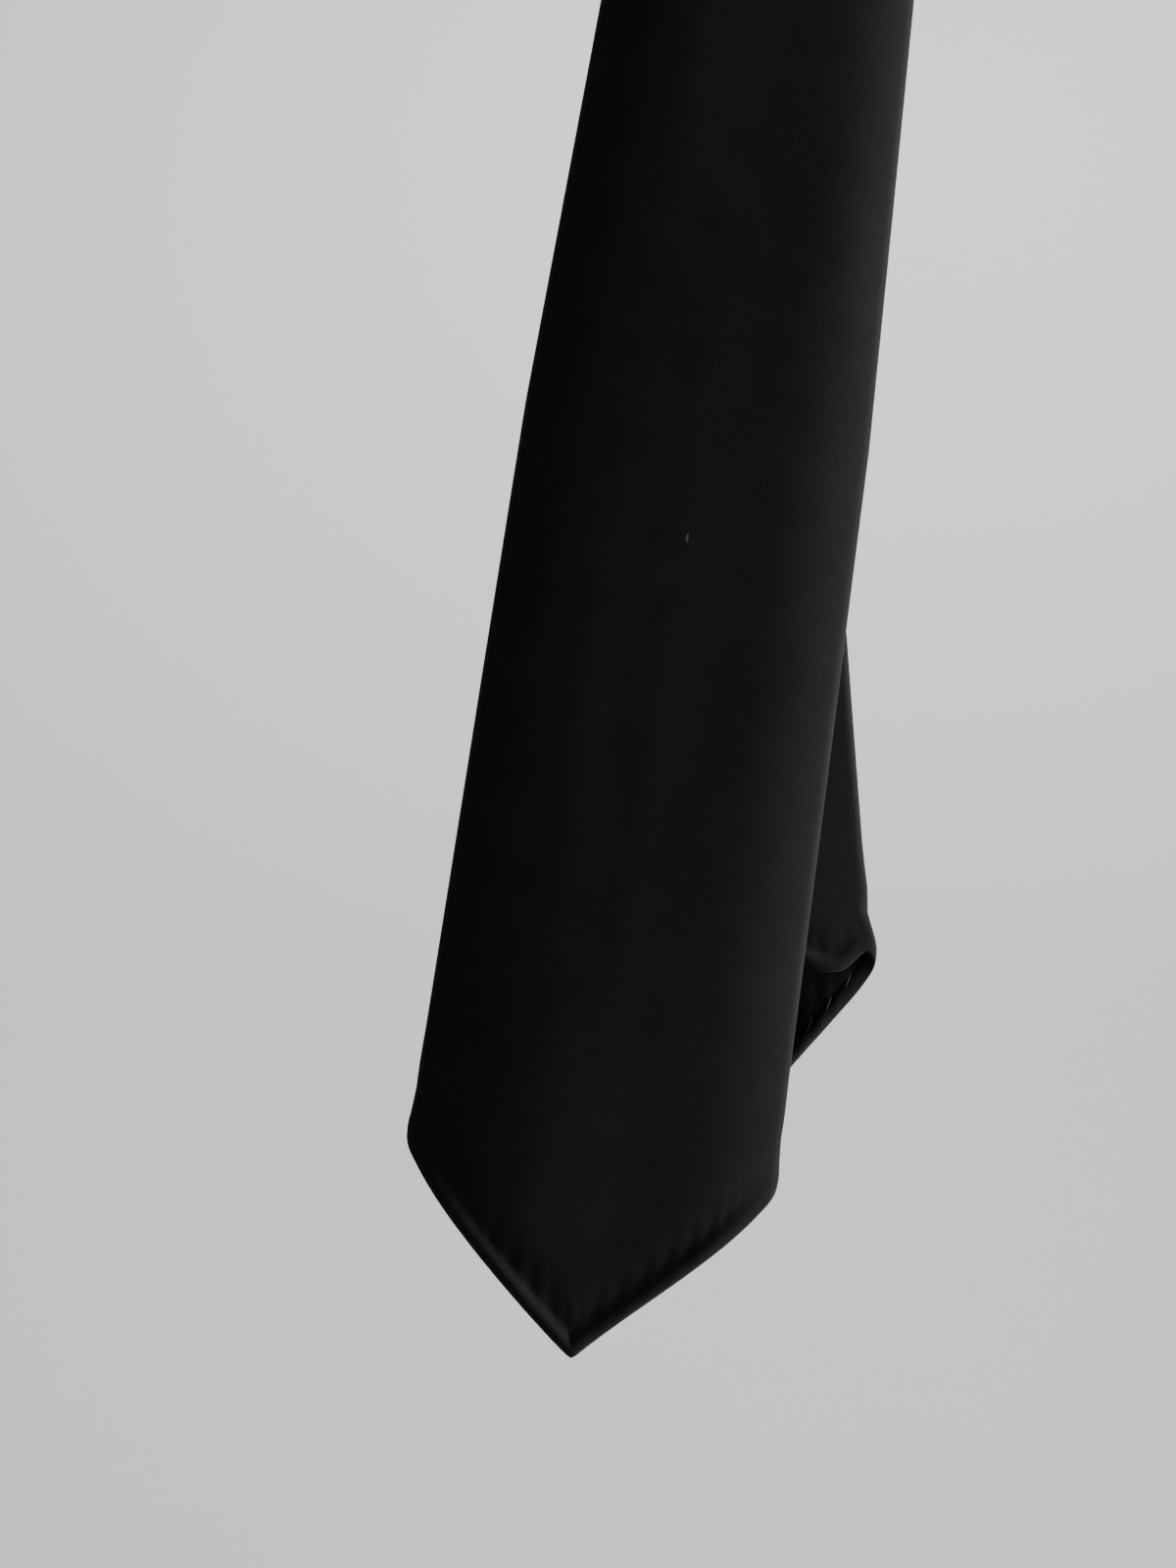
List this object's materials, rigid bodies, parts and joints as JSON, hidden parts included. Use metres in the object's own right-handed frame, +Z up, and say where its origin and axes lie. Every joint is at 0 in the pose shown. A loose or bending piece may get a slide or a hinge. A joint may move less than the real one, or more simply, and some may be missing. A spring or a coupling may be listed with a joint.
{
  "type": "necktie",
  "caption": "Three-panel untipped necktie in plain black cloth, with hand-rolled hems, draped over a round bar so that the pointed tail hangs behind the wide blade.",
  "frame": {"origin": "on the underside of the fold at the middle of the tie, where a round bar of 12 mm holds it up; the bar runs along X", "axes": "+Z up; +X to the right of someone looking at the wide blade; the wide blade's face side looks towards -Y and the tail hangs on the +Y side"},
  "size_m": [0.1067, 0.0222, 0.7624],
  "materials": {
    "shell_cloth": "matte near-black wool and silk cloth with a fine diagonal twill, very slightly blue",
    "interlining_wool": "undyed, open-weave brushed wool interlining",
    "sewing_thread": "black silk sewing thread",
    "label_tape": "blank black woven label tape"
  },
  "bodies": {
    "neck": {"neck_panel": "shell_cloth", "neck_interlining": "interlining_wool", "neck_slip_stitch": "sewing_thread", "front_seam_thread": "sewing_thread", "front_interlining_thread": "sewing_thread", "tail_seam_thread": "sewing_thread", "tail_interlining_thread": "sewing_thread"},
    "front_blade": {"front_panel": "shell_cloth", "front_interlining": "interlining_wool", "front_slip_stitch": "sewing_thread", "front_bar_tack": "sewing_thread", "front_hem_thread_left": "sewing_thread", "front_hem_thread_right": "sewing_thread", "keeper_loop": "shell_cloth", "keeper_tack_left": "sewing_thread", "keeper_tack_right": "sewing_thread"},
    "tail_blade": {"tail_panel": "shell_cloth", "tail_interlining": "interlining_wool", "tail_slip_stitch": "sewing_thread", "tail_bar_tack": "sewing_thread", "tail_hem_thread_left": "sewing_thread", "tail_hem_thread_right": "sewing_thread", "care_label": "label_tape", "label_stitch_top": "sewing_thread", "label_stitch_bottom": "sewing_thread"}
  },
  "joints": [
    {"name": "front_blade_swing", "type": "hinge", "parent": "neck", "child": "front_blade", "pos_m": [0.0173, -0.0104, -0.1617], "axis": [-1, 0, 0], "range_deg": [0, 75]},
    {"name": "tail_blade_swing", "type": "hinge", "parent": "neck", "child": "tail_blade", "pos_m": [-0.0164, 0.0104, -0.1444], "axis": [1, 0, 0], "range_deg": [0, 75]}
  ]
}
